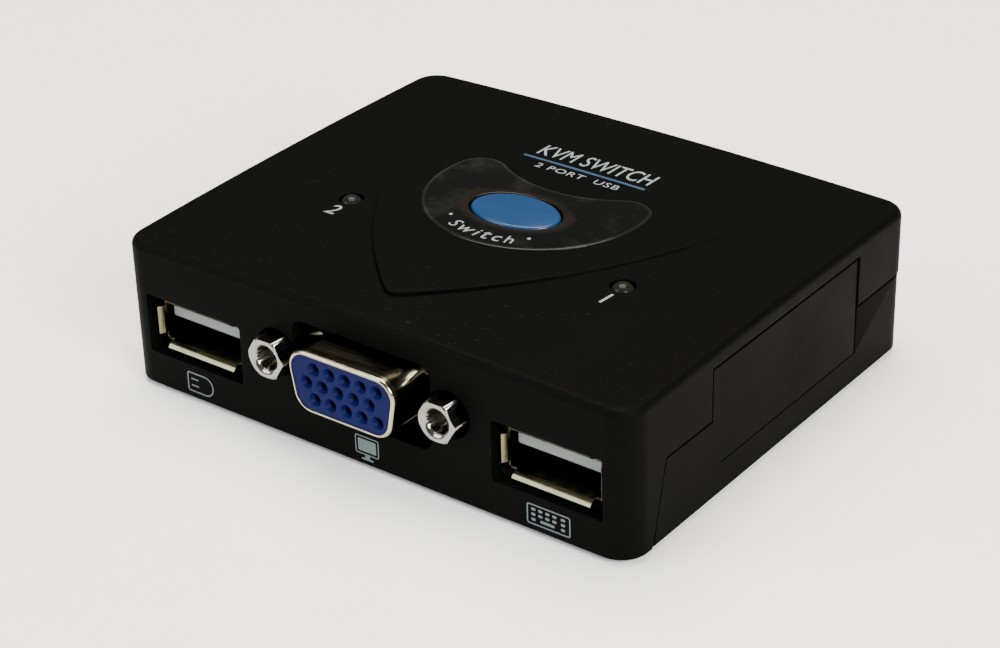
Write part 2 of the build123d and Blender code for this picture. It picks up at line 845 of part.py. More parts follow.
def cross_recess(z):
    """The driving cross in a screw head that faces down at the given height."""
    arm = Box(2.6, 0.55, 0.9)
    return Pos(0, 0, z + 0.45) * (arm + Rot(0, 0, 90) * arm)


def case_screws():
    """Four screws up through the bottom cover and the board into the top cover."""
    screws = []
    for x, y in mirrored(case_screw_x, case_screw_y):
        head_top = screw_head_bottom + screw_head_height
        head = rod_z(screw_head_radius, 0, 0, (screw_head_bottom, head_top))
        head = fillet(head.edges().sort_by(Axis.Z)[0], 0.5)
        shank = rod_z(screw_radius, 0, 0, (head_top, case_screw_tip))
        screws.append(Pos(x, y, 0) * (head + shank - cross_recess(screw_head_bottom - 0.01)))
    return Compound(screws)


def board_screws():
    """Two screws that hold the board on the bottom cover."""
    screws = []
    for x in (-board_screw_x, board_screw_x):
        head = rod_z(screw_head_radius, 0, 0, (board_top, board_top + screw_head_height))
        head = fillet(head.edges().sort_by(Axis.Z)[-1], 0.5)
        shank = rod_z(screw_radius, 0, 0, (board_screw_tip, board_top))
        cross = cross_recess(board_top + screw_head_height - 0.89)
        screws.append(Pos(x, 0, 0) * (head + shank - cross))
    return Compound(screws)


def rubber_feet():
    feet = []
    for x, y in mirrored(foot_x, foot_y):
        foot = rod_z(foot_radius, x, y, (-foot_stand, foot_recess))
        feet.append(fillet(foot.edges().sort_by(Axis.Z)[0], 0.35))
    return Compound(feet)


# ---- Output ----

def save(shape, name):
    export_step(shape.moved(Location((0, 0, foot_stand))), f"parts/{name}.step")


os.makedirs("parts", exist_ok=True)

save(top_cover(), "top_cover")
save(bottom_cover(), "bottom_cover")
save(button_label(), "button_label")
save(select_button(), "select_button")
save(status_light(-1), "status_light_2")
save(status_light(1), "status_light_1")
save(light_leads(), "light_leads")
save(main_board(), "main_board")

sockets = {
    "console": at_console(0, socket_height),
    "computer_1": at_computers(computer_socket_x, socket_height),
    "computer_2": at_computers(-computer_socket_x, socket_height),
}
for name, place in sockets.items():
    save(place * socket_shell(), f"{name}_socket_shell")
    save(place * socket_insert(), f"{name}_socket_insert")
    save(place * socket_contacts(), f"{name}_socket_contacts")
    save(place * socket_jackscrews(), f"{name}_jackscrews")

for name, side in (("mouse", -1), ("keyboard", 1)):
    place = at_console(side * usb_x, usb_height)
    save(place * usb_shell(), f"{name}_usb_shell")
    save(place * usb_tongue(), f"{name}_usb_tongue")
    save(place * usb_contacts(), f"{name}_usb_contacts")

save(switch_body(), "switch_body")
save(switch_plunger(), "switch_plunger")
save(switch_dome(), "switch_dome")
save(switch_terminals(), "switch_terminals")
save(controller_chip(), "controller_chip")
save(video_switch_chips(), "video_switch_chips")
save(clock_crystal(), "clock_crystal")
save(smoothing_capacitors(), "smoothing_capacitors")
save(small_parts(), "small_parts")
save(case_screws(), "case_screws")
save(board_screws(), "board_screws")
save(rubber_feet(), "rubber_feet")
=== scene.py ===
import math

import bmesh
import bpy
from mathutils import Matrix, Vector
from mathutils.bvhtree import BVHTree


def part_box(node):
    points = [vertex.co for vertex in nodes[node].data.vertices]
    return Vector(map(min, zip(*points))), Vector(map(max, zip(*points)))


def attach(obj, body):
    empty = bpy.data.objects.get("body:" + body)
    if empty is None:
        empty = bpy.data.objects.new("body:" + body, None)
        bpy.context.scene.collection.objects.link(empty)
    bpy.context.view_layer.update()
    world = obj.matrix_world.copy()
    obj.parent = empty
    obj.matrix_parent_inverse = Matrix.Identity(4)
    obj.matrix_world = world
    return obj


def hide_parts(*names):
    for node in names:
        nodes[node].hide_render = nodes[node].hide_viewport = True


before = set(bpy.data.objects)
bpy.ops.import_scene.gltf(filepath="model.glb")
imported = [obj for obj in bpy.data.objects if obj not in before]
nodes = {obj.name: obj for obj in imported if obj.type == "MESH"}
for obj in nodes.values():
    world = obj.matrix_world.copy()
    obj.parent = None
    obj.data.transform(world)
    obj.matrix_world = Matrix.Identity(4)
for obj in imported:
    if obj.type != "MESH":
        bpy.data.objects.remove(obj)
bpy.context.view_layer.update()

bl_info = {
    "name": "Desktop KVM switch",
    "version": (1, 0, 0),
    "blender": (4, 5, 0),
    "location": "3D View > Sidebar > KVM switch",
    "description": "Finishes, printing and overlay parts for a small two-computer KVM switch",
    "category": "Object",
}

MM = 0.001
CASE_LOW, CASE_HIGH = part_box("top_cover")
BUTTON_LOW, BUTTON_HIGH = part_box("select_button")
FRONT_Y = CASE_LOW.y
REAR_Y = CASE_HIGH.y
CASE_BOTTOM = CASE_LOW.z

# The raised panel is part of a large ball; these repeat its size and place from the case's design.
CROWN_RADIUS = 1000.0 * MM
CROWN_TOP = 20.578 * MM
PANEL_RISE = 0.36 * MM
PANEL_SHIFT = 13.0 * MM

# How far the button's hidden flange reaches past the cap that shows.
BUTTON_FLANGE = 1.0 * MM


# ---------------------------------------------------------------- settings

class KvmSizes(bpy.types.PropertyGroup):
    """Sizes of the printed and overlaid details."""

    label_rim: bpy.props.FloatProperty(
        name="Label rim", description="Width of the clear rim around the printed label",
        default=0.42 * MM, min=0.1 * MM, max=2 * MM, unit="LENGTH")
    label_height: bpy.props.FloatProperty(
        name="Label height", description="Thickness of the domed overlay",
        default=0.20 * MM, min=0.1 * MM, max=1 * MM, unit="LENGTH")
    print_thickness: bpy.props.FloatProperty(
        name="Print thickness", description="How far a printed mark stands off the surface",
        default=0.025 * MM, min=0.005 * MM, max=0.1 * MM, unit="LENGTH")
    numeral_height: bpy.props.FloatProperty(
        name="Numeral height", description="Height of the two numerals beside the lights",
        default=2.3 * MM, min=1 * MM, max=5 * MM, unit="LENGTH")
    grain_size: bpy.props.FloatProperty(
        name="Grain size", description="Spacing of the moulded texture on the case",
        default=0.34 * MM, min=0.1 * MM, max=1 * MM, unit="LENGTH")


class KvmColours(bpy.types.PropertyGroup):
    """Colours of the main finishes."""

    case: bpy.props.FloatVectorProperty(
        name="Case", description="Moulded case plastic", subtype="COLOR", size=3,
        min=0, max=1, default=(0.0016, 0.0017, 0.0015))
    button: bpy.props.FloatVectorProperty(
        name="Button", description="Select button", subtype="COLOR", size=3,
        min=0, max=1, default=(0.0013, 0.024, 0.078))
    socket: bpy.props.FloatVectorProperty(
        name="Socket insulator", description="Display socket insulator", subtype="COLOR", size=3,
        min=0, max=1, default=(0.0008, 0.0028, 0.040))
    symbol_ink: bpy.props.FloatVectorProperty(
        name="Symbol ink", description="Printed symbols under the sockets", subtype="COLOR", size=3,
        min=0, max=1, default=(0.06, 0.085, 0.09))
    ink: bpy.props.FloatVectorProperty(
        name="Ink", description="Printed words and numerals", subtype="COLOR", size=3,
        min=0, max=1, default=(0.15, 0.185, 0.185))
    rule: bpy.props.FloatVectorProperty(
        name="Rule", description="Printed rule under the title", subtype="COLOR", size=3,
        min=0, max=1, default=(0.003, 0.028, 0.075))


# ---------------------------------------------------------------- shader helpers

def add_node(tree, kind, **choices):
    node = tree.nodes.new(kind)
    for key, value in choices.items():
        setattr(node, key, value)
    return node


def math_node(tree, operation, first, second=None):
    node = add_node(tree, "ShaderNodeMath", operation=operation)
    for socket, value in zip(node.inputs, (first, second)):
        feed(tree, value, socket)
    return node.outputs[0]


def feed(tree, value, socket):
    """Link a socket, or set a plain value."""
    if value is None:
        return
    if isinstance(value, bpy.types.NodeSocket):
        tree.links.new(value, socket)
    else:
        socket.default_value = value


def noise(tree, vector, scale, detail=2.0, roughness=0.55):
    """A noise texture's value."""
    node = add_node(tree, "ShaderNodeTexNoise")
    feed(tree, vector, node.inputs["Vector"])
    feed(tree, scale, node.inputs["Scale"])
    node.inputs["Detail"].default_value = detail
    node.inputs["Roughness"].default_value = roughness
    return node.outputs["Fac"]


def spread(tree, value, low, high, start=0.0, end=1.0):
    """Map start..end to low..high, clamped."""
    node = add_node(tree, "ShaderNodeMapRange")
    feed(tree, value, node.inputs["Value"])
    for name, number in (("From Min", start), ("From Max", end), ("To Min", low), ("To Max", high)):
        node.inputs[name].default_value = number
    return node.outputs["Result"]


def mix_colour(tree, factor, first, second):
    """The first colour where the factor is 0, the second where it is 1."""
    node = add_node(tree, "ShaderNodeMix", data_type="RGBA")
    feed(tree, factor, node.inputs["Factor"])
    for name, value in (("A", first), ("B", second)):
        socket = [s for s in node.inputs if s.name == name and s.type == "RGBA"][0]
        feed(tree, with_alpha(value), socket)
    return [s for s in node.outputs if s.type == "RGBA"][0]


def with_alpha(colour):
    if isinstance(colour, bpy.types.NodeSocket):
        return colour
    return (colour[0], colour[1], colour[2], 1.0)


def new_group(name, inputs, outputs):
    """A shader node group: inputs are (name, type, default), outputs (name, type)."""
    tree = bpy.data.node_groups.new(name, "ShaderNodeTree")
    for label, kind, default in inputs:
        socket = tree.interface.new_socket(name=label, in_out="INPUT", socket_type=kind)
        socket.default_value = default
    for label, kind in outputs:
        tree.interface.new_socket(name=label, in_out="OUTPUT", socket_type=kind)
    return tree, add_node(tree, "NodeGroupInput").outputs, add_node(tree, "NodeGroupOutput").inputs


FLOAT = "NodeSocketFloat"
VECTOR = "NodeSocketVector"


def moulded_surface_group():
    """Spark-eroded grain over softened edges, an edge mask for wear and painted highlight, slow
    mottling, and an ambient-occlusion mask for painted shade in crevices.
    """
    tree, given, out = new_group(
        "moulded_surface",
        [("Grain Scale", FLOAT, 3000.0), ("Grain Depth", FLOAT, 0.00003),
         ("Edge Radius", FLOAT, 0.0001)],
        [("Normal", VECTOR), ("Edge Wear And Highlight", FLOAT), ("Mottle", FLOAT), ("Unshaded", FLOAT)])
    place = add_node(tree, "ShaderNodeTexCoord").outputs["Object"]
    fine = noise(tree, place, given["Grain Scale"], 3.0, 0.6)
    cells = add_node(tree, "ShaderNodeTexVoronoi", feature="SMOOTH_F1")
    feed(tree, place, cells.inputs["Vector"])
    feed(tree, math_node(tree, "MULTIPLY", given["Grain Scale"], 0.8), cells.inputs["Scale"])
    pits = math_node(tree, "MULTIPLY", cells.outputs["Distance"], 0.6)
    grain = math_node(tree, "ADD", fine, pits)
    soft = add_node(tree, "ShaderNodeBevel", samples=4)
    feed(tree, given["Edge Radius"], soft.inputs["Radius"])
    bump = add_node(tree, "ShaderNodeBump")
    bump.inputs["Strength"].default_value = 0.6
    feed(tree, given["Grain Depth"], bump.inputs["Distance"])
    feed(tree, grain, bump.inputs["Height"])
    feed(tree, soft.outputs["Normal"], bump.inputs["Normal"])
    # Edge mask, broken up by noise, where the softened normal turns away from the face's own: it
    # marks edge wear and also a painted edge highlight.
    turned = add_node(tree, "ShaderNodeVectorMath", operation="DOT_PRODUCT")
    feed(tree, soft.outputs["Normal"], turned.inputs[0])
    feed(tree, add_node(tree, "ShaderNodeNewGeometry").outputs["Normal"], turned.inputs[1])
    edge = spread(tree, turned.outputs["Value"], 1.0, 0.0, 0.75, 0.99)
    patchy = spread(tree, noise(tree, place, 420.0, 2.0), 0.0, 1.0, 0.42, 0.68)
    feed(tree, bump.outputs["Normal"], out["Normal"])
    feed(tree, math_node(tree, "MULTIPLY", edge, patchy), out["Edge Wear And Highlight"])
    feed(tree, noise(tree, place, 70.0, 4.0, 0.6), out["Mottle"])
    # Painted shade: ambient occlusion gives a mask that is 0 deep in crevices and seams and 1 in
    # the open.
    crevice_shade = add_node(tree, "ShaderNodeAmbientOcclusion", samples=4, only_local=True)
    crevice_shade.inputs["Distance"].default_value = 0.0006
    feed(tree, spread(tree, crevice_shade.outputs["AO"], 0.0, 1.0, 0.35, 0.8), out["Unshaded"])
    return tree


def dust_group():
    """Fine specks that settle on faces that look up."""
    tree, given, out = new_group("settled_dust", [("Amount", FLOAT, 0.3)], [("Mask", FLOAT)])
    place = add_node(tree, "ShaderNodeTexCoord").outputs["Object"]
    normal = add_node(tree, "ShaderNodeNewGeometry").outputs["Normal"]
    up = add_node(tree, "ShaderNodeSeparateXYZ")
    feed(tree, normal, up.inputs[0])
    facing = spread(tree, up.outputs["Z"], 0.0, 1.0, 0.6, 1.0)
    specks = spread(tree, noise(tree, place, 2600.0, 1.0), 0.0, 1.0, 0.70, 0.78)
    drift = spread(tree, noise(tree, place, 45.0, 3.0), 0.1, 1.0, 0.35, 0.7)
    mask = math_node(tree, "MULTIPLY", math_node(tree, "MULTIPLY", specks, drift), facing)
    feed(tree, math_node(tree, "MULTIPLY", mask, given["Amount"]), out["Mask"])
    return tree


def metal_surface_group():
    """Drawing lines, fine scratches and plating mottle for pressed and turned metal."""
    tree, given, out = new_group(
        "metal_surface",
        [("Line Scale", FLOAT, 2500.0), ("Line Depth", FLOAT, 0.000004),
         ("Edge Radius", FLOAT, 0.00005)],
        [("Normal", VECTOR), ("Lines", FLOAT), ("Mottle", FLOAT)])
    place = add_node(tree, "ShaderNodeTexCoord").outputs["Object"]
    stretch = add_node(tree, "ShaderNodeMapping")
    stretch.inputs["Scale"].default_value = (0.06, 1.0, 1.0)
    feed(tree, place, stretch.inputs["Vector"])
    lines = noise(tree, stretch.outputs["Vector"], given["Line Scale"], 3.0, 0.65)
    soft = add_node(tree, "ShaderNodeBevel", samples=4)
    feed(tree, given["Edge Radius"], soft.inputs["Radius"])
    bump = add_node(tree, "ShaderNodeBump")
    bump.inputs["Strength"].default_value = 0.5
    feed(tree, given["Line Depth"], bump.inputs["Distance"])
    feed(tree, lines, bump.inputs["Height"])
    feed(tree, soft.outputs["Normal"], bump.inputs["Normal"])
    feed(tree, bump.outputs["Normal"], out["Normal"])
    feed(tree, lines, out["Lines"])
    feed(tree, noise(tree, place, 380.0, 3.0), out["Mottle"])
    return tree


DUST = (0.35, 0.34, 0.32)
groups = {}


def group(tree, name, **values):
    """Place a shared group in a material, made on first use."""
    makers = {"moulded_surface": moulded_surface_group, "settled_dust": dust_group,
              "metal_surface": metal_surface_group}
    if name not in groups:
        groups[name] = makers[name]()
    node = add_node(tree, "ShaderNodeGroup", node_tree=groups[name])
    for key, value in values.items():
        feed(tree, value, node.inputs[key.replace("_", " ")])
    return node.outputs


def new_material(name):
    material = bpy.data.materials.new(name)
    material.use_nodes = True
    return material, material.node_tree, material.node_tree.nodes["Principled BSDF"]


def plastic(name, colour, roughness=(0.42, 0.56), grain=3000.0, depth=0.00002, edge=0.0001,
            edge_wear_and_highlight=None, dust=0.0, specular=0.5, coat=0.0, tint=0.12, painted_crevice_shade=False):
    """Moulded plastic: grained, mottled, lightened on its edges as wear and painted highlight,
    darkened in crevices as painted shade where asked, with a trace of dust.
    """
    material, tree, shader = new_material(name)
    surface = group(tree, "moulded_surface", Grain_Scale=grain, Grain_Depth=depth, Edge_Radius=edge)
    darker = [c * (1 - tint) for c in colour]
    lighter = [c * (1 + tint) for c in colour]
    shade = mix_colour(tree, spread(tree, surface["Mottle"], 0.0, 1.0, 0.3, 0.7), darker, lighter)
    # Edges are lightened towards a cool colour: partly wear, partly a painted highlight.
    if edge_wear_and_highlight:
        shade = mix_colour(tree, math_node(tree, "MULTIPLY", surface["Edge Wear And Highlight"], 0.6), shade, edge_wear_and_highlight)
    if dust:
        mask = group(tree, "settled_dust", Amount=dust)["Mask"]
        shade = mix_colour(tree, mask, shade, DUST)
    shader.inputs["Specular IOR Level"].default_value = specular
    # Painted shade: where asked, the colour darkens to 15 percent of itself in crevices and seams
    # found by ambient occlusion.
    if painted_crevice_shade:
        shade = mix_colour(tree, surface["Unshaded"], [c * 0.15 for c in colour], shade)
    feed(tree, shade, shader.inputs["Base Color"])
    uneven = spread(tree, surface["Mottle"], roughness[0], roughness[1], 0.3, 0.7)
    feed(tree, uneven, shader.inputs["Roughness"])
    feed(tree, surface["Normal"], shader.inputs["Normal"])
    if coat:
        shader.inputs["Coat Weight"].default_value = coat
        shader.inputs["Coat Roughness"].default_value = 0.12
    return material


def metal(name, colour, roughness=(0.2, 0.34), lines=2500.0, depth=0.000004, edge=0.00006,
          stain=None, shaded_span=None, shaded_brightness=0.16):
    """Plated or bare metal: drawing lines, plating mottle and softened edges.

    Its two span distances run from the middle of the case, front to rear: nearer in than the first,
    the colour is darkened as painted shade standing in for the dark case reflected in the plating;
    further out than the second it keeps its full colour.
    """
    material, tree, shader = new_material(name)
    surface = group(tree, "metal_surface", Line_Scale=lines, Line_Depth=depth, Edge_Radius=edge)
    stain = stain or [c * 0.8 for c in colour]
    shade = mix_colour(tree, spread(tree, surface["Mottle"], 0.0, 0.8, 0.4, 0.72), colour, stain)
    # Painted shade: the plating darkens towards the middle of the case, standing in for the black
    # case reflected in it.
    if shaded_span:
        apart = add_node(tree, "ShaderNodeSeparateXYZ")
        feed(tree, add_node(tree, "ShaderNodeTexCoord").outputs["Object"], apart.inputs[0])
        away = math_node(tree, "ABSOLUTE", apart.outputs["Y"])
        bright = spread(tree, away, 0.0, 1.0, shaded_span[0], shaded_span[1])
        shade = mix_colour(tree, bright, [c * shaded_brightness for c in colour], shade)
    feed(tree, shade, shader.inputs["Base Color"])
    shader.inputs["Metallic"].default_value = 1.0
    uneven = spread(tree, surface["Lines"], roughness[0], roughness[1], 0.3, 0.7)
    feed(tree, uneven, shader.inputs["Roughness"])
    feed(tree, surface["Normal"], shader.inputs["Normal"])
    return material


# ---------------------------------------------------------------- materials

def settings():
    return bpy.context.scene.kvm_sizes, bpy.context.scene.kvm_colours


def case_plastic():
    sizes, colours = settings()
    # The case gets painted shade in its crevices and seams, and its cool edge colour is partly wear
    # and partly painted highlight.
    return plastic("case_plastic", colours.case, roughness=(0.46, 0.58), grain=1 / sizes.grain_size,
                   depth=0.000035, edge=0.00016, edge_wear_and_highlight=(0.014, 0.016, 0.018), dust=0.03,
                   specular=0.015, painted_crevice_shade=True)


def ink(name, colour):
    """Screen-printed ink: slightly uneven."""
    return plastic(name, colour, roughness=(0.4, 0.6), grain=6000.0, depth=0.000006, edge=0.0,
                   tint=0.1)


RUBBED_RESIN = (0.0075, 0.0052, 0.003)


def label_film(name, colour, cloud, rough):
    """Clear domed resin over dark print, with cloudy patches where it has been handled."""
    material, tree, shader = new_material(name)
    place = add_node(tree, "ShaderNodeTexCoord").outputs["Object"]
    clouds = spread(tree, noise(tree, place, 190.0, 5.0, 0.62), 0.0, 1.0, 0.5, 0.74)
    shade = mix_colour(tree, clouds, colour, cloud)
    ring = math_node(tree, "MULTIPLY", button_ring(tree, place), 0.75)
    shade = mix_colour(tree, ring, shade, RUBBED_RESIN)
    feed(tree, shade, shader.inputs["Base Color"])
    feed(tree, spread(tree, clouds, rough[0], rough[1]), shader.inputs["Roughness"])
    bump = add_node(tree, "ShaderNodeBump")
    bump.inputs["Strength"].default_value = 0.35
    bump.inputs["Distance"].default_value = 0.00003
    feed(tree, noise(tree, place, 420.0, 2.0), bump.inputs["Height"])
    feed(tree, bump.outputs["Normal"], shader.inputs["Normal"])
    shader.inputs["Specular IOR Level"].default_value = 0.08
    shader.inputs["Coat Weight"].default_value = 0.05
    shader.inputs["Coat Roughness"].default_value = 0.06
    return material


def button_ring(tree, place):
    """1 in a soft-edged oval band around the button, 0 elsewhere."""
    centre = (BUTTON_LOW + BUTTON_HIGH) / 2
    half = (BUTTON_HIGH - BUTTON_LOW) / 2 - Vector((BUTTON_FLANGE, BUTTON_FLANGE, 0))
    apart = add_node(tree, "ShaderNodeSeparateXYZ")
    feed(tree, place, apart.inputs[0])
    squares = []
    for axis, middle, radius in (("X", centre.x, half.x), ("Y", centre.y, half.y)):
        offset = math_node(tree, "SUBTRACT", apart.outputs[axis], middle)
        squares.append(math_node(tree, "POWER", math_node(tree, "DIVIDE", offset, radius), 2.0))
    reach = math_node(tree, "SQRT", math_node(tree, "ADD", *squares))
    wobble = spread(tree, noise(tree, place, 600.0, 3.0), -0.03, 0.03)
    return spread(tree, math_node(tree, "ADD", reach, wobble), 1.0, 0.0, 1.22, 1.34)


def lens_plastic():
    """The lights' diffused lenses: milky, faintly glowing through."""
    material, tree, shader = new_material("light_lens")
    place = add_node(tree, "ShaderNodeTexCoord").outputs["Object"]
    clouds = noise(tree, place, 900.0, 2.0)
    shade = mix_colour(tree, clouds, (0.0050, 0.0046, 0.0031), (0.0115, 0.0105, 0.0072))
    feed(tree, shade, shader.inputs["Base Color"])
    shader.inputs["Roughness"].default_value = 0.2
    shader.inputs["Specular IOR Level"].default_value = 0.09
    shader.inputs["Subsurface Weight"].default_value = 0.2
    shader.inputs["Subsurface Scale"].default_value = 0.001
    shader.inputs["Subsurface Radius"].default_value = (1.0, 0.7, 0.4)
    return material


def paint(material, *names):
    """Give carried-over CAD nodes their material."""
    for name in names:
        mesh = nodes[name].data
        mesh.materials.clear()
        mesh.materials.append(material)


# ---------------------------------------------------------------- mesh helpers

def panel_height(x, y):
    """Height of the raised panel's surface above a point of the plan."""
    reach = x ** 2 + (y + PANEL_SHIFT) ** 2
    return CROWN_TOP + PANEL_RISE - CROWN_RADIUS + math.sqrt(CROWN_RADIUS ** 2 - reach)


def finish_piece(bm, name, material, body, smooth_angle=35.0, extra=()):
    """Turn a bmesh into a finished piece that rides on a body."""
    bmesh.ops.recalc_face_normals(bm, faces=bm.faces)
    mesh = bpy.data.meshes.new(name)
    bm.to_mesh(mesh)
    bm.free()
    mesh.materials.append(material)
    for other in extra:
        mesh.materials.append(other)
    piece = bpy.data.objects.new(name, mesh)
    bpy.context.scene.collection.objects.link(piece)
    mesh.shade_smooth()
    mesh.set_sharp_from_angle(angle=math.radians(smooth_angle))
    even = piece.modifiers.new("even_shading", "WEIGHTED_NORMAL")
    even.mode = "FACE_AREA"
    even.keep_sharp = True
    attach(piece, body)
    return piece


def refined_copy(node, name, material, body, smooth_angle):
    """A merged, smooth-shaded copy of a CAD node that stands for it."""
    bm = bmesh.new()
    bm.from_mesh(nodes[node].data)
    bmesh.ops.remove_doubles(bm, verts=bm.verts, dist=0.5e-6)
    piece = finish_piece(bm, name, material, body, smooth_angle)
    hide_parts(node)
    return piece


def flat_shape(bm, points):
    """A flat face inside an outline."""
    verts = [bm.verts.new((x, y, 0.0)) for x, y in points]
    face = bm.faces.new(verts)
    face.normal_update()
    return face


def arc(centre, radius, start, end, steps):
    """Points along an arc, both ends included; angles in degrees."""
    points = []
    for number in range(steps + 1):
        angle = math.radians(start + (end - start) * number / steps)
        points.append((centre[0] + radius * math.cos(angle), centre[1] + radius * math.sin(angle)))
    return points


def rounded_rectangle(centre, width, height, radius, steps=5):
    points = []
    corners = ((1, 1, 0), (-1, 1, 90), (-1, -1, 180), (1, -1, 270))
    for sx, sy, start in corners:
        corner = (centre[0] + sx * (width / 2 - radius), centre[1] + sy * (height / 2 - radius))
        points += arc(corner, radius, start, start + 90, steps)
    return points


def ring_shape(bm, points, thickness):
    """A band of even width inside an outline."""
    face = flat_shape(bm, points)
    bmesh.ops.inset_region(bm, faces=[face], thickness=thickness, use_boundary=True,
                           use_even_offset=True)
    bmesh.ops.delete(bm, geom=[face], context="FACES_ONLY")


def give_thickness(bm, thickness):
    """Close a flat print into a thin slab that stands on z = 0."""
    result = bmesh.ops.extrude_face_region(bm, geom=bm.faces[:])
    lifted = [item for item in result["geom"] if isinstance(item, bmesh.types.BMVert)]
    bmesh.ops.translate(bm, verts=lifted, vec=(0, 0, thickness))


def text_bmesh(words, height, width=None, slant=0.0, spacing=1.0):
    """Words as a flat bmesh, centred in x on the origin and standing on y = 0."""
    curve = bpy.data.curves.new("words", "FONT")
    curve.body = words
    curve.shear = slant
    curve.space_character = spacing
    curve.resolution_u = 4
    holder = bpy.data.objects.new("words", curve)
    bpy.context.scene.collection.objects.link(holder)
    bpy.context.view_layer.update()
    mesh = bpy.data.meshes.new_from_object(holder)
    bm = bmesh.new()
    bm.from_mesh(mesh)
    bpy.data.objects.remove(holder)
    bpy.data.curves.remove(curve)
    bpy.data.meshes.remove(mesh)
    bmesh.ops.remove_doubles(bm, verts=bm.verts, dist=1e-5)
    left = min(v.co.x for v in bm.verts)
    right = max(v.co.x for v in bm.verts)
    top = max(v.co.y for v in bm.verts)
    across = width / (right - left) if width else height / top
    bmesh.ops.translate(bm, verts=bm.verts, vec=(-(left + right) / 2, 0, 0))
    bmesh.ops.scale(bm, verts=bm.verts, vec=(across, height / top, 1))
    return bm


def merge_into(target, source, matrix):
    """Add another bmesh, moved, to this one."""
    mesh = bpy.data.meshes.new("part")
    source.transform(matrix)
    source.to_mesh(mesh)
    source.free()
    target.from_mesh(mesh)
    bpy.data.meshes.remove(mesh)


def surface_tree(name):
    """A search tree over the surface of one CAD node."""
    bm = bmesh.new()
    bm.from_mesh(nodes[name].data)
    tree = BVHTree.FromBMesh(bm)
    bm.free()
    return tree


def drape(bm, tree, above=0.05):
    """Lower every vertex straight down so that its height counts from the surface below it."""
    for vert in bm.verts:
        start = Vector((vert.co.x, vert.co.y, above))
        hit = tree.ray_cast(start, Vector((0, 0, -1)))
        vert.co.z += hit[0].z


# ---------------------------------------------------------------- case

class KVM_OT_finish_case(bpy.types.Operator):
    """Give both covers their moulded black finish"""

    bl_idname = "kvm.finish_case"
    bl_label = "Finish case"

    def execute(self, context):
        material = case_plastic()
        refined_copy("top_cover", "case_top", material, "case", 24.0)
        refined_copy("bottom_cover", "case_bottom", material, "case", 24.0)
        return {"FINISHED"}


# ---------------------------------------------------------------- label and button

LABEL_RADIUS = 14.4 * MM
LABEL_CENTRE_Y = 4.7 * MM
LOBE_RADIUS = 3.4 * MM
LOBE_Y = 6.8 * MM
WAIST_Y = 6.8 * MM

# The hole in the label: its clearance round the button, its softened edge and its rounded brim.
HOLE_CLEARANCE = 0.3 * MM
HOLE_SOFTENING = 0.33 * MM
HOLE_BRIM = 0.45 * MM

# The word on the label: how far out it runs, and the dots before and after it.
WORD_RADIUS = 13.2 * MM
WORD_SHIFT = 0.1 * MM
LETTER_GAP = 0.55 * MM
TALL_LETTER = 1.75 * MM
DOTTED_LETTER = 1.7 * MM
LOW_LETTER = 1.3 * MM
DOT_ANGLES = (-29.8, 29.5)
DOT_REACH = 11.7 * MM
DOT_RADIUS = 0.24 * MM


def kidney_points(inward=0.0):
    """The label's outline: belly, two lobes and a hollow waist, each arc tangent to the next."""
    reach = LABEL_RADIUS - LOBE_RADIUS
    rise = LOBE_Y - LABEL_CENTRE_Y
    lobe_x = math.sqrt(reach ** 2 - rise ** 2)
    waist_radius = (lobe_x ** 2 - LOBE_RADIUS ** 2) / (2 * LOBE_RADIUS)
    waist_centre = (0.0, WAIST_Y + waist_radius)
    belly_angle = math.degrees(math.atan2(rise, lobe_x))
    meet_angle = math.degrees(math.atan2(waist_centre[1] - LOBE_Y, lobe_x))
    lobe = LOBE_RADIUS - inward
    belly = LABEL_RADIUS - inward
    points = arc((0, LABEL_CENTRE_Y), belly, 180 - belly_angle, 360 + belly_angle, 72)
    points += arc((lobe_x, LOBE_Y), lobe, belly_angle, 180 - meet_angle, 20)[1:]
    points += arc(waist_centre, waist_radius + inward, -meet_angle, meet_angle - 180, 28)[1:]
    points += arc((-lobe_x, LOBE_Y), lobe, meet_angle, 180 - belly_angle, 20)[1:-1]
    return points


def oval_points(grow, outline):
    """The button hole, with one point in line with each point of the label's outline."""
    centre = (BUTTON_LOW + BUTTON_HIGH) / 2
    half = (BUTTON_HIGH - BUTTON_LOW) / 2
    width = half.x - BUTTON_FLANGE + grow
    depth = half.y - BUTTON_FLANGE + grow
    points = []
    for x, y in outline:
        angle = math.atan2((y - centre.y) / depth, (x - centre.x) / width)
        points.append((centre.x + width * math.cos(angle), centre.y + depth * math.sin(angle)))
    return points


def blended(first, second, share):
    """Points that lie a share of the way from one outline to the other."""
    pairs = zip(first, second)
    return [(a[0] + (b[0] - a[0]) * share, a[1] + (b[1] - a[1]) * share) for a, b in pairs]


def ring_of_edges(bm, points, height):
    """A closed ring of edges at an even height above the raised panel."""
    verts = [bm.verts.new((x, y, panel_height(x, y) + height)) for x, y in points]
    return [bm.edges.new((verts[i - 1], verts[i])) for i in range(len(verts))]


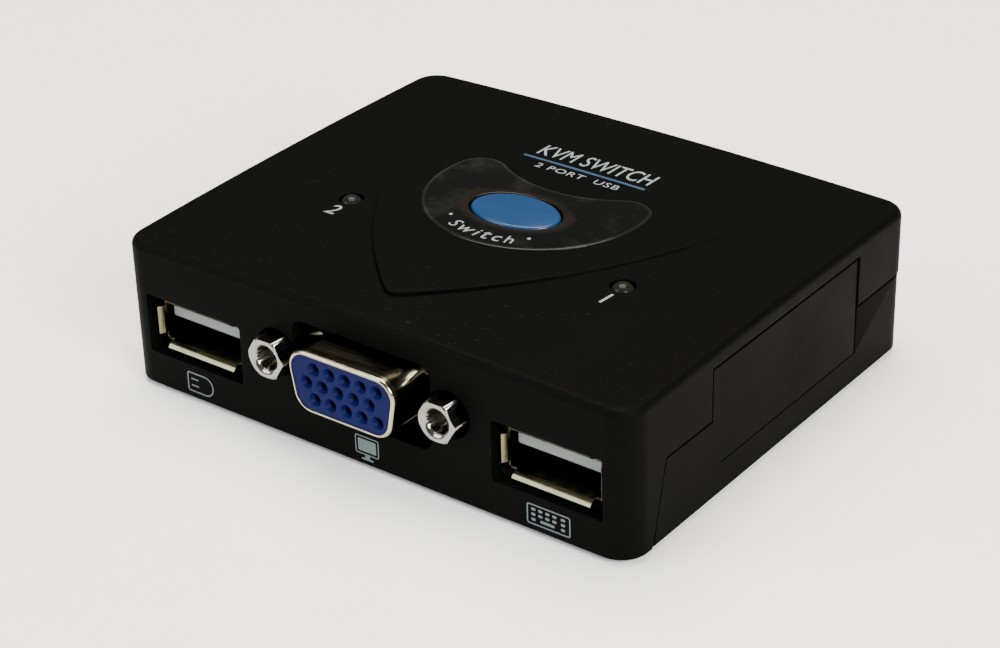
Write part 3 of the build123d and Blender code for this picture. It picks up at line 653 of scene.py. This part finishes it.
def label_bmesh(sizes):
    """A thin domed overlay with a rounded rim; the printed middle is material 1."""
    bm = bmesh.new()
    outline = kidney_points()
    wall = sizes.label_height * 0.35
    rest = sizes.label_height - wall
    rings = [(outline, 0.0, 0), (outline, wall, 0)]
    steps = 6
    for number in range(1, steps + 1):
        angle = math.radians(90 * number / steps)
        inward = sizes.label_rim * (1 - math.cos(angle))
        rings.append((kidney_points(inward), wall + rest * math.sin(angle), 0))
    edge = kidney_points(sizes.label_rim)
    brim = oval_points(HOLE_BRIM, outline)
    for number in range(1, 9):
        rings.append((blended(edge, brim, number / 8), sizes.label_height, 1))
    rings.append((oval_points(HOLE_SOFTENING, outline), sizes.label_height - 0.05 * MM, 1))
    hole = oval_points(HOLE_CLEARANCE, outline)
    rings.append((hole, sizes.label_height - 0.15 * MM, 1))
    rings.append((hole, 0.0, 1))
    for number in range(1, 4):
        rings.append((blended(hole, outline, number / 4), 0.0, 1))
    loops = [ring_of_edges(bm, points, height) for points, height, finish in rings]
    for number in range(len(loops)):
        following = (number + 1) % len(loops)
        result = bmesh.ops.bridge_loops(bm, edges=loops[number] + loops[following])
        for face in result["faces"]:
            face.material_index = rings[following][2]
    return bm


def curved_word(sizes, words):
    """The word on the label: its letters follow the belly, with a dot before and after."""
    bm = bmesh.new()
    glyphs = []
    for letter in words:
        tall = TALL_LETTER if letter.isupper() or letter in "thl" else LOW_LETTER
        glyph = text_bmesh(letter, DOTTED_LETTER if letter == "i" else tall, slant=0.15)
        glyphs.append((glyph, max(v.co.x for v in glyph.verts) - min(v.co.x for v in glyph.verts)))
    total = sum(width for glyph, width in glyphs) + LETTER_GAP * (len(glyphs) - 1)
    centre = Matrix.Translation((0, LABEL_CENTRE_Y, 0))
    reach = -total / 2 + WORD_SHIFT
    for glyph, width in glyphs:
        give_thickness(glyph, sizes.print_thickness)
        turn = Matrix.Rotation((reach + width / 2) / WORD_RADIUS, 4, "Z")
        merge_into(bm, glyph, centre @ turn @ Matrix.Translation((0, -WORD_RADIUS, 0)))
        reach += width + LETTER_GAP
    for angle in DOT_ANGLES:
        dot = bmesh.new()
        bmesh.ops.create_circle(dot, cap_ends=True, segments=12, radius=DOT_RADIUS)
        give_thickness(dot, sizes.print_thickness)
        turn = Matrix.Rotation(math.radians(angle), 4, "Z")
        merge_into(bm, dot, centre @ turn @ Matrix.Translation((0, -DOT_REACH, 0)))
    return bm


class KVM_OT_add_label(bpy.types.Operator):
    """Add the domed kidney label with its printed word"""

    bl_idname = "kvm.add_label"
    bl_label = "Add label"

    def execute(self, context):
        sizes, colours = settings()
        rim = label_film("label_rim", (0.006, 0.006, 0.006), (0.018, 0.019, 0.017), (0.10, 0.25))
        film = label_film("label_film", (0.0016, 0.0016, 0.0013), (0.0075, 0.0075, 0.006),
                          (0.16, 0.34))
        label = finish_piece(label_bmesh(sizes), "domed_label", rim, "case", 40.0,
                             [film])
        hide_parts("button_label")
        tree = surface_tree("button_label")
        word = curved_word(sizes, "Switch")
        drape(word, tree)
        finish_piece(word, "label_word", ink("label_ink", colours.ink), "case")
        return {"FINISHED"}


class KVM_OT_finish_button(bpy.types.Operator):
    """Give the select button its smooth blue finish"""

    bl_idname = "kvm.finish_button"
    bl_label = "Finish button"

    def execute(self, context):
        colour = context.scene.kvm_colours.button
        material = plastic("button_blue", colour, roughness=(0.3, 0.42), grain=5000.0,
                           depth=0.000012, edge=0.0, coat=0.12, specular=0.25, tint=0.08)
        refined_copy("select_button", "button_cap", material, "button", 40.0)
        return {"FINISHED"}


class KVM_OT_finish_lights(bpy.types.Operator):
    """Give the two status lights their milky lenses"""

    bl_idname = "kvm.finish_lights"
    bl_label = "Finish status lights"

    def execute(self, context):
        lens = lens_plastic()
        for number in ("1", "2"):
            light = f"status_light_{number}"
            refined_copy(light, f"light_lens_{number}", lens, "case", 40.0)
        paint(metal("tinned_lead", (0.72, 0.72, 0.70)), "light_leads", "switch_terminals")
        return {"FINISHED"}


# ---------------------------------------------------------------- printing

TITLE_SIZE = (16.8 * MM, 2.9 * MM)
TITLE_PLACE = (0.3 * MM, 15.0 * MM, 0)
SMALL_LINE_SIZE = (12.4 * MM, 1.2 * MM)
SMALL_LINE_PLACE = (0.2 * MM, 11.6 * MM, 0)
RULE_SIZE = (18.2 * MM, 0.45 * MM, 1)
RULE_PLACE = (0, 13.8 * MM, 0)
NUMERAL_SHIFT = (0.1 * MM, -2.7 * MM)
REAR_NUMBER_HEIGHT = 1.9 * MM
REAR_NUMBER_PLACE = 1.4 * MM
REAR_INSET = 0.12 * MM


class KVM_OT_print_top(bpy.types.Operator):
    """Print the title, its rule and the numerals on the top"""

    bl_idname = "kvm.print_top"
    bl_label = "Print top"

    def execute(self, context):
        sizes, colours = settings()
        tree = surface_tree("top_cover")
        white = ink("print_white", colours.ink)
        title = text_bmesh("KVM SWITCH", TITLE_SIZE[1], width=TITLE_SIZE[0])
        give_thickness(title, sizes.print_thickness)
        merged = bmesh.new()
        merge_into(merged, title, Matrix.Translation(TITLE_PLACE))
        small = text_bmesh("2 PORT  USB", SMALL_LINE_SIZE[1], width=SMALL_LINE_SIZE[0], spacing=1.1)
        give_thickness(small, sizes.print_thickness)
        merge_into(merged, small, Matrix.Translation(SMALL_LINE_PLACE))
        drape(merged, tree)
        finish_piece(merged, "title_print", white, "case")
        rule = bmesh.new()
        bmesh.ops.create_grid(rule, x_segments=24, y_segments=1, size=0.5)
        bmesh.ops.scale(rule, verts=rule.verts, vec=RULE_SIZE)
        bmesh.ops.translate(rule, verts=rule.verts, vec=RULE_PLACE)
        give_thickness(rule, sizes.print_thickness)
        drape(rule, tree)
        finish_piece(rule, "title_rule", ink("print_blue", colours.rule), "case")
        for number in ("1", "2"):
            numeral = text_bmesh(number, sizes.numeral_height, slant=0.1)
            low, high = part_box(f"status_light_{number}")
            give_thickness(numeral, sizes.print_thickness)
            place = ((low.x + high.x) / 2 + NUMERAL_SHIFT[0], low.y + NUMERAL_SHIFT[1], 0)
            numeral.transform(Matrix.Translation(place))
            drape(numeral, tree)
            finish_piece(numeral, f"numeral_{number}", white, "case")
        return {"FINISHED"}


def stand_on_front(bm):
    """Stand a flat print, drawn in x and y, on the front wall."""
    upright = Matrix.Rotation(math.pi / 2, 4, "X")
    bm.transform(Matrix.Translation((0, FRONT_Y, CASE_BOTTOM)) @ upright)


def stand_on_rear(bm):
    """Stand a flat print, drawn in x and y, on the rear wall."""
    turn = Matrix.Rotation(math.pi, 4, "Z") @ Matrix.Rotation(math.pi / 2, 4, "X")
    bm.transform(Matrix.Translation((0, REAR_Y, CASE_BOTTOM)) @ turn)


def mouse_symbol():
    """A mouse on its side: flat at the left, round at the right, with two short button lines."""
    bm = bmesh.new()
    left, right, low, high = -27.6 * MM, -23.4 * MM, 0.75 * MM, 3.45 * MM
    radius = (high - low) / 2
    corner = 0.35 * MM
    points = arc((right - radius, low + radius), radius, -90, 90, 14)
    points += arc((left + corner, high - corner), corner, 90, 180, 3)
    points += arc((left + corner, low + corner), corner, 180, 270, 3)
    ring_shape(bm, points, 0.17 * MM)
    for height in (2.55 * MM, 1.65 * MM):
        flat_shape(bm, rounded_rectangle((-26.4 * MM, height), 1.2 * MM, 0.18 * MM, 0.08 * MM, 2))
    return bm


def monitor_symbol():
    """A filled screen inside a frame, on a small stand."""
    bm = bmesh.new()
    centre = (0.4 * MM, 2.5 * MM)
    ring_shape(bm, rounded_rectangle(centre, 3.5 * MM, 2.5 * MM, 0.3 * MM, 3), 0.15 * MM)
    flat_shape(bm, rounded_rectangle(centre, 2.65 * MM, 1.65 * MM, 0.12 * MM, 2))
    flat_shape(bm, rounded_rectangle((centre[0], 1.02 * MM), 0.7 * MM, 0.4 * MM, 0.05 * MM, 1))
    flat_shape(bm, rounded_rectangle((centre[0], 0.68 * MM), 1.7 * MM, 0.24 * MM, 0.08 * MM, 2))
    return bm


def keyboard_symbol():
    """A framed keyboard: rows of keys, a space bar and a column of keys at the right."""
    bm = bmesh.new()
    centre = (26.1 * MM, 2.05 * MM)
    ring_shape(bm, rounded_rectangle(centre, 5.9 * MM, 2.65 * MM, 0.3 * MM, 3), 0.16 * MM)
    width, height, corner = 0.55 * MM, 0.34 * MM, 0.06 * MM
    for row in range(3):
        z = centre[1] + (0.68 - row * 0.66) * MM
        for offset in (-2.05, -1.1, -0.15, 0.8, 1.95):
            if row == 2 and -1.5 < offset < 1.5:
                continue
            key = (centre[0] + offset * MM, z)
            flat_shape(bm, rounded_rectangle(key, width, height, corner, 1))
    space = (centre[0] - 0.15 * MM, centre[1] - 0.64 * MM)
    flat_shape(bm, rounded_rectangle(space, 1.9 * MM, height, corner, 1))
    return bm


class KVM_OT_print_front(bpy.types.Operator):
    """Print the mouse, monitor and keyboard symbols under the sockets"""

    bl_idname = "kvm.print_front"
    bl_label = "Print symbols"

    def execute(self, context):
        sizes, colours = settings()
        material = ink("symbol_ink", colours.symbol_ink)
        makers = {"mouse": mouse_symbol, "monitor": monitor_symbol, "keyboard": keyboard_symbol}
        for name, maker in makers.items():
            bm = maker()
            give_thickness(bm, sizes.print_thickness)
            stand_on_front(bm)
            finish_piece(bm, f"{name}_symbol", material, "case")
        return {"FINISHED"}


class KVM_OT_print_rear(bpy.types.Operator):
    """Number the two computer sockets on the rear wall"""

    bl_idname = "kvm.print_rear"
    bl_label = "Print rear numbers"

    def execute(self, context):
        sizes, colours = settings()
        material = ink("rear_ink", colours.ink)
        for number in ("1", "2"):
            low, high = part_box(f"computer_{number}_socket_shell")
            bm = text_bmesh(f"PC {number}", REAR_NUMBER_HEIGHT)
            give_thickness(bm, sizes.print_thickness)
            place = (-(low.x + high.x) / 2, REAR_NUMBER_PLACE, -REAR_INSET)
            bm.transform(Matrix.Translation(place))
            stand_on_rear(bm)
            finish_piece(bm, f"computer_number_{number}", material, "case")
        return {"FINISHED"}


# ---------------------------------------------------------------- sockets and inside

# How far behind a shell's rim its colour is fully darkened by painted shade, and where that shade
# starts.
SHELL_PAINTED_SHADE = (1.0 * MM, 0.45 * MM)
PORT_PAINTED_SHADE = (2.2 * MM, 1.0 * MM)


class KVM_OT_finish_sockets(bpy.types.Operator):
    """Finish the display, computer and USB sockets"""

    bl_idname = "kvm.finish_sockets"
    bl_label = "Finish sockets"

    def execute(self, context):
        colours = context.scene.kvm_colours
        # Both kinds of shell get painted shade behind their rims, standing in for the dark case
        # reflected in them.
        shell_front = -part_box("console_socket_shell")[0].y
        nickel = metal("nickel_plate", (0.40, 0.355, 0.245), roughness=(0.13, 0.22),
                       stain=(0.27, 0.22, 0.12),
                       shaded_span=[shell_front - depth for depth in SHELL_PAINTED_SHADE])
        port_front = -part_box("mouse_usb_shell")[0].y
        port_nickel = metal("port_nickel", (0.17, 0.15, 0.09), roughness=(0.16, 0.28),
                            stain=(0.12, 0.10, 0.055), shaded_brightness=0.3,
                            shaded_span=[port_front - depth for depth in PORT_PAINTED_SHADE])
        bright = metal("screw_nickel", (0.27, 0.26, 0.235), roughness=(0.10, 0.20), lines=4000.0)
        gold = metal("contact_gold", (0.83, 0.62, 0.28), roughness=(0.2, 0.3))
        blue = plastic("socket_blue", colours.socket, roughness=(0.34, 0.46), grain=5000.0,
                       depth=0.00001, edge=0.00008, specular=0.05)
        white = plastic("tongue_white", (0.165, 0.185, 0.175), specular=0.2, roughness=(0.35, 0.5),
                        grain=5000.0, depth=0.00001, edge=0.0001)
        for socket in ("console", "computer_1", "computer_2"):
            refined_copy(f"{socket}_socket_shell", f"{socket}_shell", nickel, "case", 40.0)
            refined_copy(f"{socket}_jackscrews", f"{socket}_screwlocks", bright, "case", 30.0)
            paint(blue, f"{socket}_socket_insert")
            paint(gold, f"{socket}_socket_contacts")
        for socket in ("mouse", "keyboard"):
            refined_copy(f"{socket}_usb_shell", f"{socket}_shell", port_nickel, "case", 35.0)
            paint(white, f"{socket}_usb_tongue")
            paint(gold, f"{socket}_usb_contacts")
        return {"FINISHED"}


class KVM_OT_finish_inside(bpy.types.Operator):
    """Finish the board, the switch and the parts on the board"""

    bl_idname = "kvm.finish_inside"
    bl_label = "Finish inside"

    def execute(self, context):
        paint(plastic("board_laminate", (0.004, 0.030, 0.012), roughness=(0.3, 0.42), grain=2500.0,
                      depth=0.000008, edge=0.0), "main_board")
        paint(plastic("black_moulding", (0.012, 0.012, 0.012), edge=0.00006), "switch_body",
              "switch_plunger", "controller_chip", "video_switch_chips")
        paint(metal("spring_steel", (0.62, 0.62, 0.62)), "switch_dome")
        paint(metal("can_metal", (0.72, 0.72, 0.73)), "clock_crystal", "smoothing_capacitors")
        paint(plastic("ceramic", (0.45, 0.33, 0.2), edge=0.00004), "small_parts")
        return {"FINISHED"}


class KVM_OT_finish_underside(bpy.types.Operator):
    """Finish the screws and the rubber feet"""

    bl_idname = "kvm.finish_underside"
    bl_label = "Finish underside"

    def execute(self, context):
        zinc = metal("screw_zinc", (0.5, 0.5, 0.5), roughness=(0.25, 0.42))
        refined_copy("case_screws", "cover_screws", zinc, "case", 30.0)
        paint(zinc, "board_screws")
        rubber = plastic("foot_rubber", (0.012, 0.012, 0.012), roughness=(0.7, 0.85), grain=1800.0,
                         depth=0.00003, edge=0.0, dust=0.2)
        refined_copy("rubber_feet", "soft_feet", rubber, "case", 40.0)
        return {"FINISHED"}


# ---------------------------------------------------------------- stage

LIGHT_AIM = Vector((0, 0, 10.0 * MM))

# Each soft box's place and side in metres, its power in watts and its colour.
LIGHTS = {
    "key": ((0.62, -0.25, 0.42), 14.0, 0.35, (1.0, 0.99, 0.96)),
    "top": ((-0.12, 0.15, 0.75), 16.0, 0.6, (1.0, 0.93, 0.82)),
    "fill": ((-0.45, -0.55, 0.40), 6.0, 0.5, (0.88, 0.94, 1.0)),
}
SKY_COLOUR = (0.93, 0.96, 1.0, 1.0)
SKY_STRENGTH = 0.22

# The camera's direction in degrees and its lens. From the aim point it stands this far back along
# that direction, and then this far to its right and up.
CAMERA_AZIMUTH = 37.506
CAMERA_ELEVATION = 29.114
CAMERA_ROLL = -1.597
CAMERA_LENS = 91.92
CAMERA_DISTANCE = 310.488 * MM
CAMERA_RIGHT = -2.279 * MM
CAMERA_UP = -5.649 * MM
CAMERA_AIM_HEIGHT = 11.0 * MM


def add_light(name, place, power, side, colour):
    """A square soft box that faces the middle of the case."""
    data = bpy.data.lights.new(name, "AREA")
    data.energy = power
    data.color = colour
    data.shape = "SQUARE"
    data.size = side
    light = bpy.data.objects.new(name, data)
    light.location = place
    light.rotation_euler = (LIGHT_AIM - Vector(place)).to_track_quat("-Z", "Y").to_euler()
    bpy.context.scene.collection.objects.link(light)


def add_camera():
    """A long lens from the front right, a little above, turned slightly about its own axis."""
    azimuth = math.radians(CAMERA_AZIMUTH)
    elevation = math.radians(CAMERA_ELEVATION)
    roll = math.radians(CAMERA_ROLL)
    level = math.cos(elevation)
    back = Vector((math.sin(azimuth) * level, -math.cos(azimuth) * level, math.sin(elevation)))
    right = Vector((0, 0, 1)).cross(back).normalized()
    up = back.cross(right)
    turned_right = math.cos(roll) * right + math.sin(roll) * up
    turned_up = math.cos(roll) * up - math.sin(roll) * right
    aim = Vector((0, 0, CAMERA_AIM_HEIGHT + CASE_BOTTOM))
    place = aim + back * CAMERA_DISTANCE + turned_right * CAMERA_RIGHT + turned_up * CAMERA_UP
    data = bpy.data.cameras.new("camera")
    data.lens = CAMERA_LENS
    data.sensor_width = 36.0
    data.clip_start = 0.01
    camera = bpy.data.objects.new("camera", data)
    axes = Matrix((turned_right, turned_up, back)).transposed()
    camera.matrix_world = Matrix.Translation(place) @ axes.to_4x4()
    bpy.context.scene.collection.objects.link(camera)
    bpy.context.scene.camera = camera


class KVM_OT_add_stage(bpy.types.Operator):
    """Add the pale floor, the soft lights and the camera"""

    bl_idname = "kvm.add_stage"
    bl_label = "Add stage"

    def execute(self, context):
        bm = bmesh.new()
        bmesh.ops.create_grid(bm, x_segments=8, y_segments=8, size=3.0)
        mesh = bpy.data.meshes.new("floor")
        bm.to_mesh(mesh)
        bm.free()
        paper = plastic("floor_paper", (0.86, 0.86, 0.86), roughness=(0.7, 0.8), grain=900.0,
                        depth=0.00002, edge=0.0, tint=0.01, specular=0.2)
        mesh.materials.append(paper)
        floor = bpy.data.objects.new("floor", mesh)
        context.scene.collection.objects.link(floor)
        world = bpy.data.worlds.new("studio")
        world.use_nodes = True
        background = world.node_tree.nodes["Background"]
        background.inputs["Color"].default_value = SKY_COLOUR
        background.inputs["Strength"].default_value = SKY_STRENGTH
        context.scene.world = world
        for name, light in LIGHTS.items():
            add_light(name, *light)
        add_camera()
        return {"FINISHED"}


# ---------------------------------------------------------------- panel and registration

OPERATORS = (
    KVM_OT_add_stage, KVM_OT_finish_case, KVM_OT_add_label, KVM_OT_finish_button,
    KVM_OT_finish_lights, KVM_OT_print_top, KVM_OT_print_front, KVM_OT_print_rear,
    KVM_OT_finish_sockets, KVM_OT_finish_inside, KVM_OT_finish_underside,
)


class KVM_PT_panel(bpy.types.Panel):
    """Lists the steps that build the KVM switch's looks"""

    bl_idname = "KVM_PT_panel"
    bl_label = "KVM switch"
    bl_space_type = "VIEW_3D"
    bl_region_type = "UI"
    bl_category = "KVM switch"

    def draw(self, context):
        for operator in OPERATORS:
            self.layout.operator(operator.bl_idname)
        for settings_group in (context.scene.kvm_sizes, context.scene.kvm_colours):
            for name in settings_group.__annotations__:
                self.layout.prop(settings_group, name)


CLASSES = (KvmSizes, KvmColours) + OPERATORS + (KVM_PT_panel,)


def register():
    for cls in CLASSES:
        bpy.utils.register_class(cls)
    bpy.types.Scene.kvm_sizes = bpy.props.PointerProperty(type=KvmSizes)
    bpy.types.Scene.kvm_colours = bpy.props.PointerProperty(type=KvmColours)


def unregister():
    del bpy.types.Scene.kvm_colours
    del bpy.types.Scene.kvm_sizes
    for cls in reversed(CLASSES):
        bpy.utils.unregister_class(cls)


def main():
    register()
    for operator in OPERATORS:
        category, name = operator.bl_idname.split(".")
        getattr(getattr(bpy.ops, category), name)()


if __name__ == "__main__":
    main()
